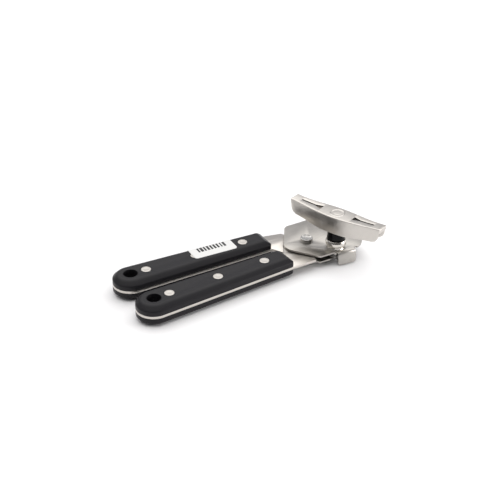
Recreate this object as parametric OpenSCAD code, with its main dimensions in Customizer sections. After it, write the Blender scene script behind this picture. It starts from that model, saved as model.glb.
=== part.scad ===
// Plier-type hand can opener: two riveted handles crossing at a pivot, with a
// butterfly key that turns a toothed feed wheel, and a free-running cutting wheel.
// It lies on its handles on z = 0, with the head towards +X. Millimetres.

/* [Handles] */
// Thickness of one handle scale
scale_t = 7; // [5:0.1:9]
// Radius of the round butt end
butt_r = 13.2; // [12:0.1:16]
// Half width of a scale at its front end
front_half_w = 10.1; // [9:0.1:12]
// Distance from the middle rivet to the hanging hole
butt_reach = 52.3; // [50:0.1:60]
// Distance from the middle rivet to the front end of the scales
front_reach = 60.4; // [55:0.1:62]
// Width of the sloping edge, seen from above
bevel_w = 3.6; // [1:0.1:4.5]
// Height of the sloping edge
bevel_h = 3.3; // [1:0.1:4.5]
// Width of the slope at the front end, seen from above
front_bevel_w = 4.6; // [1:0.1:6]
// Diameter of the hanging hole
hang_hole_d = 10.6; // [6:0.1:12]
// Distance between the handle rivets
rivet_pitch = 40; // [34:0.5:42]
// Diameter of a handle rivet's head
rivet_head_d = 7.4; // [6:0.1:9]
// Depth of a handle rivet's head
rivet_head_h = 1.6; // [1:0.1:2.5]
// Diameter of a handle rivet's shank
rivet_shank_d = 4.8; // [3:0.1:5.5]
// Distance of each handle's middle rivet from the centre line
handle_y = 16.8; // [16.5:0.1:20]
// Angle of each handle to the centre line
handle_turn = 1.8; // [0.5:0.1:3]

/* [Tangs] */
// Thickness of a tang
tang_t = 2; // [1.5:0.1:3]
// Radius of the cutter tang's boss round the pivot
tang_boss_r = 11.5; // [9:0.1:12.5]
// Gap between the tangs where they stop each other
stop_gap = 0.25; // [0.2:0.05:1]

/* [Head] */
// Distance from the middle rivets to the pivot
pivot_x = 88; // [86:0.1:95]
// Thickness of a head plate
plate_t = 1.2; // [1:0.1:2]
// Gap between a tang and a head plate
plate_gap = 0.8; // [0.6:0.1:1.5]
// Diameter of the pivot rivet's shank
pivot_d = 7; // [5:0.1:8]
// Diameter of the pivot rivet's upper head
pivot_head_d = 9.6; // [8:0.1:12]
// Height of the pivot rivet's upper head
pivot_head_h = 2.3; // [1:0.1:3]
// Height of the pivot rivet's lower head
pivot_foot_h = 1.3; // [0.8:0.1:2]
// Diameter of the pivot washers
pivot_washer_d = 15; // [11:0.1:18]
// Distance that the guide tab reaches below the upper plate's underside
tab_drop = 9.3; // [6:0.1:9.6]
// Length of the guide tab
tab_len = 15.3; // [10:0.1:17]
// Outward slope of the guide tab
tab_flare = 11; // [0:1:15]

/* [Key] */
// Length of the turning key
key_len = 79; // [60:1:90]
// Half width of the key at its middle
key_mid_half = 8.2; // [7.6:0.1:10]
// Half width of the key at its tips
key_tip_half = 4.9; // [4:0.1:6]
// Wall thickness of the key
key_wall = 1.1; // [0.8:0.1:1.3]
// Height of the key's top over the upper head plate
key_rise = 29; // [25:0.5:34]
// Depth of the key's skirt at the middle
key_skirt = 13.5; // [10:0.1:15]
// Height that the tips rise over the middle
key_tip_rise = 1.4; // [0:0.1:3]
// Angle of the key's long axis at rest
key_angle = -68.8; // [-90:0.1:90]
// Distance from the shaft to the key's slot heads
slot_start = 13.8; // [12:0.1:15]
// Distance from the shaft to the key's slot ends
slot_end = 32; // [28:0.1:34]
// Width of the key's slots
slot_w = 1.3; // [1:0.1:2]
// Width of a slot's three-cornered head
slot_head_w = 5; // [3:0.1:6]
// Diameter of the key's round boss
boss_d = 11.6; // [9:0.1:13]

/* [Drive] */
// Diameter of the drive shaft
shaft_d = 7; // [6:0.1:8]
// Distance of the shaft from the pivot, along the head
shaft_dx = 13.7; // [13:0.1:15]
// Distance of the shaft from the pivot, across the head
shaft_dy = 19.1; // [18:0.1:21]
// Diameter of the bush below its flange
bush_d = 13.2; // [12:0.1:14]
// Diameter of the bush's flange
bush_flange_d = 15.8; // [14:0.1:17]
// Height of the bush over the upper plate
bush_h = 7.3; // [4:0.1:8]
// Diameter of the collar at its foot
collar_foot_d = 14; // [12:0.1:15]
// Diameter of the collar at the key's skirt
collar_top_d = 12.6; // [10:0.1:13]
// Outer diameter of the feed wheel
feed_d = 13.2; // [12:0.1:14]
// Thickness of the feed wheel
feed_t = 3; // [2:0.1:3.4]
// Number of teeth on the feed wheel
feed_teeth = 22; // [16:1:30]
// Depth of the feed wheel's teeth
tooth_h = 0.9; // [0.5:0.1:1.2]

/* [Cutter] */
// Diameter of the cutting wheel
cutter_d = 17; // [15:0.1:18]
// Thickness of the cutting wheel
cutter_t = 1.5; // [1:0.1:2]
// Bite of the cutting wheel over the feed wheel, seen from above
cutter_bite = 1.1; // [0:0.1:1.5]
// Angle of the line from the shaft to the cutting wheel
cutter_angle = 82.6; // [75:0.1:90]
// Diameter of the cutter stud's shoulder
stud_d = 9; // [7:0.1:10]
// Diameter of the journal that the cutting wheel turns on
journal_d = 5.2; // [4:0.1:6]

/* [Label] */
// Length of the paper label
label_len = 35; // [20:1:45]
// Width of the paper label on the flat top
label_w = 13.5; // [6:0.5:14]
// Thickness of the paper label
label_t = 0.15; // [0.1:0.05:0.3]

/* [Fits] */
// Radial clearance of a turning fit
fit_gap = 0.05; // [0.02:0.01:0.1]
// End play of a part that turns
end_play = 0.1; // [0.05:0.01:0.2]

/* [Hidden] */
$fn = 64;
eps = 0.01;
over = 1;

// Heights, from the resting plane up
handle_t = 2 * scale_t + tang_t;
tang_z = scale_t;
plate_top_z = tang_z + tang_t + plate_gap;
plate_bottom_z = tang_z - plate_gap - plate_t;
head_top_z = plate_top_z + plate_t;
key_top_z = head_top_z + key_rise;
skirt_z = key_top_z - key_skirt;
bush_top_z = head_top_z + bush_h;
bush_foot_z = tang_z - end_play;
washer_t = 0.8;
feed_z = bush_foot_z - end_play - washer_t - feed_t;
cutter_z = feed_z - 0.3 - cutter_t;

// Places in plan, with x = 0 at the middle rivets and y = 0 on the centre line
shaft_x = pivot_x + shaft_dx;
shaft_y = -shaft_dy;
wheel_gap = feed_d / 2 + cutter_d / 2 - cutter_bite;
cutter_x = shaft_x + wheel_gap * cos(cutter_angle);
cutter_y = shaft_y + wheel_gap * sin(cutter_angle);

// The handle's straight sides are tangent to its round butt
side_len = norm([butt_reach + front_reach, front_half_w]);
taper = asin(butt_r / side_len) - atan(front_half_w / (butt_reach + front_reach));
side_x = -butt_reach + butt_r * sin(taper);
side_y = butt_r * cos(taper);
// A scale's side starts this far inside the butt's round, so that the two meet at a clean edge
side_land = 0.05;
side_start_y = side_y - side_land;
side_turn = atan((side_start_y - front_half_w) / (front_reach - side_x));

// The front slope stops a little short of the side slopes, and the butt's cone starts a little below
// them, so that each keeps a clean edge
front_bevel_h = bevel_h - 0.3;
butt_bevel_h = bevel_h + 0.1;

// The drive shaft's ends, and the flats that stop the wheel and the key from slipping
shaft_end_d = 5.8;
shaft_flat = 2.4;
shaft_head_d = 8.6;
shaft_head_h = 0.8;

// The pressed boss and the peened head stand this high
boss_h = 0.45;
screw_d = 3;
screw_head_d = 7.6;
screw_head_h = 0.8;
stud_head_d = 8.4;
stud_head_h = 0.6;
stud_neck_d = 6.4;

// A polygon whose corners [x, y, radius] are rounded with arcs
function unit(v) = v / norm(v);
function corner_arc(a, b, c, steps = 8) =
    let (u = unit([a[0] - b[0], a[1] - b[1]]), v = unit([c[0] - b[0], c[1] - b[1]]),
         half = acos(max(-1, min(1, u * v))) / 2,
         centre = [b[0], b[1]] + unit(u + v) * b[2] / sin(half),
         from = [b[0], b[1]] + u * b[2] / tan(half) - centre,
         to = [b[0], b[1]] + v * b[2] / tan(half) - centre,
         start = atan2(from[1], from[0]),
         turn = atan2(to[1], to[0]) - start,
         sweep = turn > 180 ? turn - 360 : turn < -180 ? turn + 360 : turn)
    [for (i = [0:steps]) centre + b[2] * [cos(start + sweep * i / steps), sin(start + sweep * i / steps)]];
function rounded(pts) =
    let (n = len(pts))
    [for (i = [0:n - 1])
        each pts[i][2] == 0 ? [[pts[i][0], pts[i][1]]]
                            : corner_arc(pts[(i + n - 1) % n], pts[i], pts[(i + 1) % n])];

// Plan of the key: a long lens with a wide middle and square tips
key_half = key_len / 2;
key_steps = 16;
function key_half_w(s) = key_tip_half + (key_mid_half - key_tip_half) * (cos(180 * s) + 1) / 2;
function key_side(inset) =
    [for (i = [0:key_steps]) let (s = i / key_steps)
        [s * (key_half - inset), key_half_w(s) - inset]];
function key_plan(inset) =
    let (side = key_side(inset))
    concat([for (p = side) p],
           [for (i = [key_steps:-1:0]) [side[i][0], -side[i][1]]],
           [for (i = [1:key_steps]) [-side[i][0], -side[i][1]]],
           [for (i = [key_steps:-1:1]) [-side[i][0], side[i][1]]]);

// The whole opener's box in plan, which sets the origin
butt_x = -butt_reach * cos(handle_turn);
butt_y = handle_y + butt_reach * sin(handle_turn);
nose_r = 15;
nose_x = pivot_x + 24.5;
nose_y = -13;
box_y_min = min([for (p = key_plan(0)) shaft_y + p[0] * sin(key_angle) + p[1] * cos(key_angle)]);
origin_x = (butt_x - butt_r + nose_x + nose_r) / 2;
origin_y = (butt_y + butt_r + box_y_min) / 2;

module at_origin() {
    translate([-origin_x, -origin_y, 0]) children();
}

// side = 1 for the drive handle, -1 for the cutter handle
module on_handle(side) {
    at_origin() mirror([0, side < 0 ? 1 : 0, 0])
        translate([0, handle_y, 0]) rotate([0, 0, -handle_turn]) children();
}

module at_pivot() {
    at_origin() translate([pivot_x, 0, 0]) children();
}

module at_shaft() {
    at_origin() translate([shaft_x, shaft_y, 0]) children();
}

module on_key() {
    at_shaft() rotate([0, 0, key_angle]) children();
}

module at_cutter() {
    at_origin() translate([cutter_x, cutter_y, 0]) children();
}

// Handles

module handle_sides() {
    polygon([[side_x, -side_start_y], [front_reach, -front_half_w],
             [front_reach, front_half_w], [side_x, side_start_y]]);
}

// The wedge that a sloping edge of this size takes off, drawn with the edge at x = 0
module slope_wedge(width, height) {
    polygon([[0, scale_t - height], [-width * (1 + over / height), scale_t + over],
             [over, scale_t + over], [over, scale_t - height]]);
}

module side_slope_cut() {
    translate([side_x, side_start_y, 0]) rotate([0, 0, -side_turn])
        translate([-over, 0, 0]) rotate([90, 0, 90])
            linear_extrude(butt_reach + front_reach + 2 * over) slope_wedge(bevel_w, bevel_h);
}

module front_slope_cut() {
    translate([front_reach, 0, 0]) rotate([90, 0, 0])
        translate([0, 0, -butt_r]) linear_extrude(2 * butt_r) slope_wedge(front_bevel_w, front_bevel_h);
}

module handle_holes(d) {
    for (i = [-1:1])
        translate([i * rivet_pitch, 0, -over]) cylinder(d = d, h = handle_t + 2 * over);
    translate([-butt_reach, 0, -over]) cylinder(d = hang_hole_d, h = handle_t + 2 * over);
}

// One scale lying on z = 0 with its sloping edges up
module scale_blank() {
    translate([-butt_reach, 0, 0]) {
        cylinder(r = butt_r, h = scale_t - butt_bevel_h);
        translate([0, 0, scale_t - butt_bevel_h])
            cylinder(r1 = butt_r, r2 = butt_r - bevel_w, h = butt_bevel_h);
    }
    difference() {
        linear_extrude(scale_t) handle_sides();
        side_slope_cut();
        mirror([0, 1, 0]) side_slope_cut();
        front_slope_cut();
    }
}

module handle_scale() {
    difference() {
        scale_blank();
        handle_holes(rivet_shank_d);
        for (i = [-1:1])
            translate([i * rivet_pitch, 0, scale_t - rivet_head_h])
                cylinder(d = rivet_head_d, h = rivet_head_h + over);
    }
}

module scale_top(side) {
    on_handle(side) translate([0, 0, tang_z + tang_t]) handle_scale();
}

module scale_bottom(side) {
    on_handle(side) translate([0, 0, tang_z]) mirror([0, 0, 1]) handle_scale();
}

module handle_rivet(side, place) {
    on_handle(side) translate([place * rivet_pitch, 0, 0]) {
        cylinder(d = rivet_shank_d, h = handle_t);
        cylinder(d = rivet_head_d, h = rivet_head_h);
        translate([0, 0, handle_t - rivet_head_h]) cylinder(d = rivet_head_d, h = rivet_head_h);
    }
}

module tang_holes(side) {
    on_handle(side) handle_holes(rivet_shank_d);
}

// A point of a handle's own plan, x forwards and y outwards, moved to the whole opener's plan
function handle_point(side, x, y) =
    [x * cos(handle_turn) + y * sin(handle_turn),
     side * (handle_y - x * sin(handle_turn) + y * cos(handle_turn))];

// The part of a tang between the scales, from its inner front corner round the butt to the outer one
butt_steps = 40;
function grip_outline(side) =
    [handle_point(side, front_reach, -front_half_w),
     for (i = [0:butt_steps]) let (a = 270 + taper - (180 + 2 * taper) * i / butt_steps)
         handle_point(side, -butt_reach + butt_r * cos(a), butt_r * sin(a)),
     handle_point(side, front_reach, front_half_w)];
function arc_points(centre, r, from, to, steps = 12) =
    [for (i = [0:steps]) let (a = from + (to - from) * i / steps) centre + r * [cos(a), sin(a)]];

// The line on which the two tangs meet when the handles are closed
meet_low = [pivot_x - 23.2, -3.8];
meet_mid = [pivot_x - 18, 4];
meet_high = [pivot_x - 8.5, 8.6];
meet_away = [-0.7, 0.9];

// The cutter lever's arm is a belt round the pivot boss and the stud boss
pivot_at = [pivot_x, 0];
cutter_at = [cutter_x, cutter_y];
stud_boss_r = stud_d / 2 + 2;
arm_angle = atan2(cutter_y, cutter_x - pivot_x);
arm_spread = acos((tang_boss_r - stud_boss_r) / norm(cutter_at - pivot_at));

function drive_arm() =
    let (outer_y = handle_point(1, front_reach, front_half_w)[1])
    concat(corner_arc(handle_point(1, front_reach, front_half_w), [pivot_x - 9.5, outer_y - 4, 3],
                      [pivot_x - 7.5, 15]),
           corner_arc([pivot_x - 9.5, outer_y - 4], [pivot_x - 7.5, 15, 3], meet_high),
           [for (p = [meet_high, meet_mid, meet_low]) p + stop_gap * meet_away]);
function cutter_arm() =
    let (outer_y = handle_point(-1, front_reach, front_half_w)[1], tip = [pivot_x - 8, outer_y - 0.2, 0.8])
    concat(corner_arc(handle_point(-1, front_reach, front_half_w), tip, [pivot_x - 3, -tang_boss_r]),
           arc_points(pivot_at, tang_boss_r, arm_angle - arm_spread - 20, arm_angle - arm_spread),
           arc_points(cutter_at, stud_boss_r, arm_angle - arm_spread, arm_angle + arm_spread),
           arc_points(pivot_at, tang_boss_r, arm_angle + arm_spread, 126),
           [meet_high, meet_mid, meet_low]);

module drive_tang() {
    color("silver") difference() {
        at_origin() translate([0, 0, tang_z]) linear_extrude(tang_t)
            polygon(concat(grip_outline(1), drive_arm()));
        tang_holes(1);
    }
}

module drive_scale_top() {
    color("#2b2b2d") scale_top(1);
}

module drive_scale_bottom() {
    color("#2b2b2d") scale_bottom(1);
}

module drive_rivet_butt() {
    color("gainsboro") handle_rivet(1, -1);
}

module drive_rivet_mid() {
    color("gainsboro") handle_rivet(1, 0);
}

module drive_rivet_head() {
    color("gainsboro") handle_rivet(1, 1);
}

// Head

plate_left = [pivot_x - 22, -1.5];
plate_rear = [pivot_x - 3.6, 25.6];
plate_near = [pivot_x - 4.6, -25.6];
plate_left_r = 10.5;
plate_rear_r = 6.5;
tab_x = pivot_x + 9.7;
tab_y = -26;
tab_turn = -5;
tab_bend_r = 1.6;
tab_land = 0.4;
tab_bend_steps = 8;
tab_root = 1.5;
tab_corner_r = 3;

nose_start_angle = -78;
nose_end_angle = 24;
// A point on the tab's bend line, this far past the tab's end
function tab_end(past) = [tab_x, tab_y] + (tab_len + past) * [cos(tab_turn), sin(tab_turn)];

module plate_top_outline() {
    left = [plate_left[0], plate_left[1], plate_left_r];
    near = [plate_near[0], plate_near[1], 1];
    rear = [plate_rear[0], plate_rear[1], plate_rear_r];
    far = [pivot_x + 18, plate_rear[1], 2];
    nose = arc_points([nose_x, nose_y], nose_r, nose_start_angle, nose_end_angle, 24);
    polygon(concat(corner_arc(rear, left, near), corner_arc(left, near, [tab_x - tab_land, tab_y]),
                   [[tab_x - tab_land, tab_y], tab_end(tab_land)],
                   nose, corner_arc(nose[24], far, rear), corner_arc(far, rear, left)));
}

// The tab's cross-section: its root in the plate, a bend, then a straight flared flap
module tab_profile() {
    bend = 90 - tab_flare;
    outer_r = tab_bend_r + plate_t;
    straight = (tab_drop - tab_bend_r) / cos(tab_flare);
    down = straight * [sin(tab_flare), -cos(tab_flare)];
    outer = [for (i = [0:tab_bend_steps]) let (a = bend * i / tab_bend_steps)
                outer_r * [sin(a), cos(a)]];
    inner = [for (i = [tab_bend_steps:-1:0]) let (a = bend * i / tab_bend_steps)
                tab_bend_r * [sin(a), cos(a)]];
    polygon(concat([[-tab_root, outer_r]], outer,
                   [outer[tab_bend_steps] + down, inner[0] + down], inner, [[-tab_root, tab_bend_r]]));
}

module guide_tab() {
    foot_z = -tab_drop - plate_t;
    at_origin() translate([tab_x, tab_y, head_top_z]) rotate([0, 0, tab_turn])
        intersection() {
            translate([0, 0, -tab_bend_r - plate_t]) rotate([90, 0, 90]) mirror([1, 0, 0])
                linear_extrude(tab_len) tab_profile();
            rotate([90, 0, 0]) translate([0, 0, -tab_root - over]) linear_extrude(tab_drop + tab_root + over)
                polygon(rounded([[0, over, 0], [0, foot_z, tab_corner_r],
                                 [tab_len, foot_z, tab_corner_r], [tab_len, over, 0]]));
        }
}

module head_plate_top() {
    relief_d = 2;
    relief_at = tab_end(tab_land + relief_d * 0.7);
    color("lightgray") {
        difference() {
            at_origin() translate([0, 0, plate_top_z]) linear_extrude(plate_t) plate_top_outline();
            at_pivot() translate([0, 0, plate_top_z - over]) cylinder(d = pivot_d, h = plate_t + 2 * over);
            at_shaft() translate([0, 0, plate_top_z - over]) cylinder(d = bush_d - 2, h = plate_t + 2 * over);
            at_origin() translate([relief_at[0], relief_at[1], plate_top_z - over])
                cylinder(d = relief_d, h = plate_t + 2 * over);
        }
        guide_tab();
    }
}

module plate_bottom_outline() {
    boss_r = 11;
    difference() {
        union() {
            polygon(rounded([[plate_left[0], plate_left[1], plate_left_r],
                             [plate_near[0], plate_near[1], 1],
                             [pivot_x + 4.5, plate_near[1] - 0.3, 1.5],
                             [pivot_x + 9.5, plate_near[1] + 2.1, 0],
                             [pivot_x + 9.5, -9, 0],
                             [pivot_x + 6, 16, 3],
                             [plate_rear[0] + 9, plate_rear[1], 2],
                             [plate_rear[0], plate_rear[1], plate_rear_r]]));
            translate([pivot_x, 0]) circle(r = boss_r);
        }
        translate([shaft_x, shaft_y]) circle(d = feed_d + 1.4);
    }
}

module head_plate_bottom() {
    color("lightgray") difference() {
        at_origin() translate([0, 0, plate_bottom_z]) linear_extrude(plate_t) plate_bottom_outline();
        at_pivot() translate([0, 0, plate_bottom_z - over]) cylinder(d = pivot_d, h = plate_t + 2 * over);
    }
}

module spacer_blank() {
    at_origin() linear_extrude(plate_gap)
        polygon([[meet_mid[0] + 5, meet_mid[1] + 3.6], [meet_high[0], meet_high[1] + 1.2],
                 [meet_high[0], meet_high[1] + 5.6]]);
}

module head_spacer_top() {
    color("darkgray") translate([0, 0, tang_z + tang_t]) spacer_blank();
}

module head_spacer_bottom() {
    color("darkgray") translate([0, 0, tang_z - plate_gap]) spacer_blank();
}

module pivot_rivet() {
    rim = 1.1;
    dish = 0.7;
    color("whitesmoke") at_pivot() difference() {
        union() {
            translate([0, 0, plate_bottom_z - pivot_foot_h])
                cylinder(d = pivot_d, h = head_top_z + pivot_head_h - plate_bottom_z + pivot_foot_h);
            translate([0, 0, plate_bottom_z - pivot_foot_h]) cylinder(d = pivot_head_d, h = pivot_foot_h);
            translate([0, 0, head_top_z]) cylinder(d = pivot_head_d, h = pivot_head_h);
        }
        translate([0, 0, head_top_z + pivot_head_h - dish])
            cylinder(d1 = pivot_head_d - 4 * rim, d2 = pivot_head_d - 2 * rim, h = dish + eps);
    }
}

module pivot_washer() {
    difference() {
        cylinder(d = pivot_washer_d, h = plate_gap - fit_gap);
        translate([0, 0, -over]) cylinder(d = pivot_d, h = plate_gap + 2 * over);
    }
}

module pivot_washer_top() {
    color("goldenrod") at_pivot() translate([0, 0, plate_top_z - plate_gap + fit_gap]) pivot_washer();
}

module pivot_washer_bottom() {
    color("goldenrod") at_pivot() translate([0, 0, plate_bottom_z + plate_t]) pivot_washer();
}

module shaft_bush() {
    lip = 1.2;
    barrel_d = bush_d - 2;
    color("whitesmoke") at_shaft() difference() {
        union() {
            translate([0, 0, bush_foot_z]) cylinder(d = barrel_d, h = bush_top_z - bush_foot_z);
            translate([0, 0, head_top_z]) cylinder(d = bush_d, h = bush_h - lip);
            translate([0, 0, bush_top_z - lip - 0.8]) cylinder(d1 = bush_d, d2 = bush_flange_d, h = 0.8);
            translate([0, 0, bush_top_z - lip]) cylinder(d = bush_flange_d, h = lip);
        }
        translate([0, 0, bush_foot_z - over])
            cylinder(d = shaft_d + 2 * fit_gap, h = bush_top_z - bush_foot_z + 2 * over);
    }
}

// A thin paper label over the drive handle's flat top, folded down its outer slope
label_back = -1.9;
label_margin = 0.6;
module label_profile() {
    fold = atan2(bevel_h, bevel_w);
    flap = norm([bevel_w, bevel_h]) - label_margin;
    edge = flap * [cos(fold), -sin(fold)];
    polygon([[-label_w, 0], [0, 0], edge, edge + label_t * [sin(fold), cos(fold)],
             [label_t * tan(fold / 2), label_t], [-label_w, label_t]]);
}

module price_label() {
    color("white") on_handle(1)
        translate([side_x, side_y, handle_t]) rotate([0, 0, -taper])
            translate([label_back - side_x, -bevel_w, 0]) rotate([90, 0, 90])
                linear_extrude(label_len) label_profile();
}

// Cutter lever

module cutter_tang() {
    color("silver") difference() {
        at_origin() translate([0, 0, tang_z]) linear_extrude(tang_t)
            polygon(concat(grip_outline(-1), cutter_arm()));
        tang_holes(-1);
        at_pivot() cylinder(d = pivot_d + 2 * fit_gap, h = handle_t);
        at_cutter() cylinder(d = stud_neck_d, h = handle_t);
    }
}

module cutter_scale_top() {
    color("#2b2b2d") scale_top(-1);
}

module cutter_scale_bottom() {
    color("#2b2b2d") scale_bottom(-1);
}

module cutter_rivet_butt() {
    color("gainsboro") handle_rivet(-1, -1);
}

module cutter_rivet_mid() {
    color("gainsboro") handle_rivet(-1, 0);
}

module cutter_rivet_head() {
    color("gainsboro") handle_rivet(-1, 1);
}

module cutter_stud() {
    journal_z = cutter_z - end_play;
    shoulder_z = cutter_z + cutter_t + end_play;
    color("whitesmoke") at_cutter() difference() {
        union() {
            translate([0, 0, journal_z]) cylinder(d = journal_d, h = tang_z - journal_z);
            translate([0, 0, shoulder_z]) cylinder(d = stud_d, h = tang_z - shoulder_z);
            translate([0, 0, tang_z]) cylinder(d = stud_neck_d, h = tang_t);
            translate([0, 0, tang_z + tang_t]) cylinder(d = stud_head_d, h = stud_head_h);
        }
        translate([0, 0, journal_z - over]) cylinder(d = screw_d, h = tang_z - journal_z);
    }
}

module cutter_screw() {
    head_z = cutter_z - end_play - screw_head_h;
    color("silver") at_cutter() difference() {
        union() {
            translate([0, 0, head_z]) cylinder(d = screw_head_d, h = screw_head_h);
            translate([0, 0, head_z]) cylinder(d = screw_d, h = screw_head_h + tang_z - cutter_z - over);
        }
        translate([-screw_head_d / 2 - over, -0.5, head_z - over])
            cube([screw_head_d + 2 * over, 1, over + 0.4]);
    }
}

// Key assembly

// Side view of the key, drawn with x along the key and y up
module key_profile(inset) {
    tip_z = key_top_z + key_tip_rise - inset;
    x = key_half - inset;
    steps = 12;
    lip = 3.5;
    top = [for (i = [-steps:steps]) let (s = i / steps)
        [s * x, key_top_z - inset + key_tip_rise * max(0, (abs(s) - 0.3) / 0.7) ^ 2]];
    half_under = [[x, tip_z - lip, 0], [x - 0.8, tip_z - lip - 0.4, 0], [x - 1.3, skirt_z + 3.6, 6],
                  [11, skirt_z, 20]];
    under = inset > 0 ? [[x, skirt_z - over, 0], [-x, skirt_z - over, 0]]
                      : concat(half_under, [for (i = [3:-1:0]) let (p = half_under[i]) [-p[0], p[1], p[2]]]);
    polygon(rounded(concat([for (p = top) [p[0], p[1], 0]], under)));
}

module key_solid(inset) {
    intersection() {
        translate([0, 0, skirt_z - 2 * over]) linear_extrude(key_skirt + key_tip_rise + 3 * over)
            polygon(key_plan(inset));
        rotate([90, 0, 0]) translate([0, 0, -key_mid_half - over])
            linear_extrude(2 * key_mid_half + 2 * over) key_profile(inset);
    }
}

module key_slot() {
    head_len = 6;
    translate([0, 0, key_top_z - 2 * key_wall]) linear_extrude(2 * key_wall + key_tip_rise + over) {
        translate([slot_start, -slot_w / 2]) square([slot_end - slot_start, slot_w]);
        polygon([[slot_start, -slot_head_w / 2], [slot_start + head_len, -slot_w / 2],
                 [slot_start + head_len, slot_w / 2], [slot_start, slot_head_w / 2]]);
    }
}

// The shaft's flatted end, for the feed wheel below and the key above
module shaft_end(h) {
    intersection() {
        cylinder(d = shaft_end_d, h = h);
        translate([-shaft_end_d, -shaft_flat, -over]) cube([2 * shaft_end_d, 2 * shaft_flat, h + 2 * over]);
    }
}

module turning_key() {
    color("lightgray") on_key() difference() {
        key_solid(0);
        key_solid(key_wall);
        key_slot();
        rotate([0, 0, 180]) key_slot();
        translate([0, 0, key_top_z - key_wall - over]) shaft_end(key_wall + 2 * over);
    }
}

module key_boss() {
    color("silver") on_key() translate([0, 0, key_top_z]) difference() {
        cylinder(d = boss_d, h = boss_h);
        translate([0, 0, boss_h - 0.2]) cylinder(d = boss_d - 2.4, h = over);
    }
}

module key_collar() {
    foot_z = bush_top_z + end_play;
    top_z = key_top_z - key_wall;
    color("#141414") on_key() difference() {
        union() {
            translate([0, 0, foot_z]) cylinder(d1 = collar_foot_d, d2 = collar_top_d, h = skirt_z - foot_z);
            translate([0, 0, skirt_z]) cylinder(d = collar_top_d, h = top_z - skirt_z);
        }
        translate([0, 0, foot_z - over]) cylinder(d = shaft_d, h = top_z - foot_z + 2 * over);
    }
}

module drive_shaft() {
    shoulder_z = feed_z + feed_t;
    color("silver") on_key() {
        translate([0, 0, feed_z - shaft_head_h]) cylinder(d = shaft_head_d, h = shaft_head_h);
        translate([0, 0, feed_z]) shaft_end(feed_t);
        translate([0, 0, shoulder_z]) cylinder(d = shaft_d, h = key_top_z - key_wall - shoulder_z);
        translate([0, 0, key_top_z - key_wall]) shaft_end(key_wall);
    }
}

module thrust_washer() {
    color("goldenrod") on_key() translate([0, 0, feed_z + feed_t]) difference() {
        cylinder(d = bush_d - 2, h = washer_t);
        translate([0, 0, -over]) cylinder(d = shaft_d, h = washer_t + 2 * over);
    }
}

module feed_wheel() {
    pitch = 360 / feed_teeth;
    root_r = feed_d / 2 - tooth_h;
    teeth = [for (i = [0:feed_teeth - 1])
                each [root_r * [cos(i * pitch), sin(i * pitch)],
                      feed_d / 2 * [cos((i + 0.35) * pitch), sin((i + 0.35) * pitch)],
                      feed_d / 2 * [cos((i + 0.65) * pitch), sin((i + 0.65) * pitch)]]];
    color("darkgray") on_key() translate([0, 0, feed_z]) difference() {
        linear_extrude(feed_t) polygon(teeth);
        translate([0, 0, -over]) shaft_end(feed_t + 2 * over);
    }
}

module cutter_wheel() {
    edge = 0.12;
    land = 1.8;
    color("gainsboro") at_cutter() translate([0, 0, cutter_z]) difference() {
        union() {
            cylinder(d1 = cutter_d - 2 * land, d2 = cutter_d, h = cutter_t - edge);
            translate([0, 0, cutter_t - edge]) cylinder(d = cutter_d, h = edge);
        }
        translate([0, 0, -over]) cylinder(d = journal_d + 2 * fit_gap, h = cutter_t + 2 * over);
    }
}

drive_tang();
drive_scale_top();
drive_scale_bottom();
drive_rivet_butt();
drive_rivet_mid();
drive_rivet_head();
head_plate_top();
head_plate_bottom();
head_spacer_top();
head_spacer_bottom();
pivot_rivet();
pivot_washer_top();
pivot_washer_bottom();
shaft_bush();
price_label();
cutter_tang();
cutter_scale_top();
cutter_scale_bottom();
cutter_rivet_butt();
cutter_rivet_mid();
cutter_rivet_head();
cutter_stud();
cutter_screw();
turning_key();
key_boss();
key_collar();
drive_shaft();
thrust_washer();
feed_wheel();
cutter_wheel();
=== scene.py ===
"""Looks of a plier-type can opener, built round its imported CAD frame.

Named lengths are millimetres, except where a heading says metres, and angles are degrees.
Everything in the scene is metres.
Heights count up from the table, which the handles lie on.
"""

import math

import bmesh
import bpy
from mathutils import Matrix, Vector


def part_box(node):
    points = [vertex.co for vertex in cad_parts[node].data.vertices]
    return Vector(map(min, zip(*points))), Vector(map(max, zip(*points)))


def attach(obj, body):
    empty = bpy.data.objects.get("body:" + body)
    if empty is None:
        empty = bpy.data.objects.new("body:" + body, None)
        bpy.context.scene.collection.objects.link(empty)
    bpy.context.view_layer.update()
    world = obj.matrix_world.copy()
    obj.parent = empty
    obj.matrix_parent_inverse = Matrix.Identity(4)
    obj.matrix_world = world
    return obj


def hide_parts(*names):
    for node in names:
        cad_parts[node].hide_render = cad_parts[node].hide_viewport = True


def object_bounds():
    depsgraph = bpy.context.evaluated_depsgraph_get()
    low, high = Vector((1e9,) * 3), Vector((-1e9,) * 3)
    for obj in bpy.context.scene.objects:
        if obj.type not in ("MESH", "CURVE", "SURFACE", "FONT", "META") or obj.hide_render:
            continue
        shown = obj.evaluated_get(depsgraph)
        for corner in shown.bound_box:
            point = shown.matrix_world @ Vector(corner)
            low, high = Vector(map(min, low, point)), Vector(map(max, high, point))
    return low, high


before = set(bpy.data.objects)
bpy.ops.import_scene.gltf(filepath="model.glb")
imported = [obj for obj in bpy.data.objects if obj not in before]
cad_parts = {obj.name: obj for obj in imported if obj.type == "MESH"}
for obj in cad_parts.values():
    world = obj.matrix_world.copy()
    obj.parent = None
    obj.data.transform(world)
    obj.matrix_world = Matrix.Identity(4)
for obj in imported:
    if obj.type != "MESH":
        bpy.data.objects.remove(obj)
cad_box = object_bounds()

MM = 0.001

# The two levers, each with the side that its handle is on
LEVERS = (("drive", 1), ("cutter", -1))

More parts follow.
